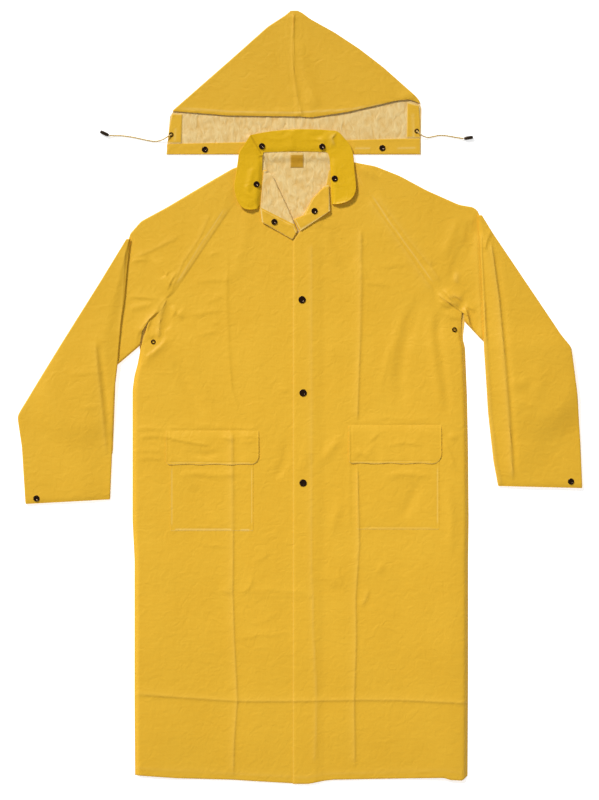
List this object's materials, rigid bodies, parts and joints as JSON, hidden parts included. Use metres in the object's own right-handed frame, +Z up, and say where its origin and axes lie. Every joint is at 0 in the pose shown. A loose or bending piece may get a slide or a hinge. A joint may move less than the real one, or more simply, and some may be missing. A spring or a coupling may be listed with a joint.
{
  "type": "hooded raincoat",
  "caption": "Long yellow raincoat laid flat, buttoned up: raglan sleeves folded in, turned-down collar, flap pockets and a detachable hood with a drawstring.",
  "frame": {"origin": "on the surface the coat lies on, below the middle of its bounding box", "axes": "+Y from the hem towards the hood, +X to the right as seen from above, +Z up off the surface"},
  "size_m": [1.098, 1.503, 0.0117],
  "materials": {
    "yellow_coated_cloth": "satin",
    "yellow_label": "satin",
    "black_lacquered_brass": "gloss",
    "dark_brass": "satin",
    "braided_string": "matte",
    "dark_cord_end": "matte"
  },
  "bodies": {
    "root": {"back": "yellow_coated_cloth", "front_left": "yellow_coated_cloth", "front_right": "yellow_coated_cloth", "facing_left": "yellow_coated_cloth", "facing_right": "yellow_coated_cloth", "pocket_left": "yellow_coated_cloth", "pocket_right": "yellow_coated_cloth", "pocket_flap_left": "yellow_coated_cloth", "pocket_flap_right": "yellow_coated_cloth", "sleeve_left_upper": "yellow_coated_cloth", "sleeve_left_tuck": "yellow_coated_cloth", "sleeve_left_lower": "yellow_coated_cloth", "sleeve_right_upper": "yellow_coated_cloth", "sleeve_right_tuck": "yellow_coated_cloth", "sleeve_right_lower": "yellow_coated_cloth", "collar": "yellow_coated_cloth", "hood_left": "yellow_coated_cloth", "hood_right": "yellow_coated_cloth", "hood_band": "yellow_coated_cloth", "hood_casing_left": "yellow_coated_cloth", "hood_casing_right": "yellow_coated_cloth", "label": "yellow_label", "snap_front_1": "black_lacquered_brass", "snap_front_2": "black_lacquered_brass", "snap_front_3": "black_lacquered_brass", "snap_corner_left": "black_lacquered_brass", "snap_corner_right": "black_lacquered_brass", "snap_collar_1": "black_lacquered_brass", "snap_collar_2": "black_lacquered_brass", "snap_collar_3": "black_lacquered_brass", "snap_collar_4": "black_lacquered_brass", "snap_hood_1": "black_lacquered_brass", "snap_hood_2": "black_lacquered_brass", "snap_hood_3": "black_lacquered_brass", "snap_hood_4": "black_lacquered_brass", "snap_cuff_left": "black_lacquered_brass", "snap_cuff_right": "black_lacquered_brass", "eyelet_vent_left": "dark_brass", "eyelet_vent_right": "dark_brass", "eyelet_hood_left": "dark_brass", "eyelet_hood_right": "dark_brass", "cord_left": "braided_string", "cord_right": "braided_string", "cord_end_left": "dark_cord_end", "cord_end_right": "dark_cord_end"}
  },
  "joints": []
}
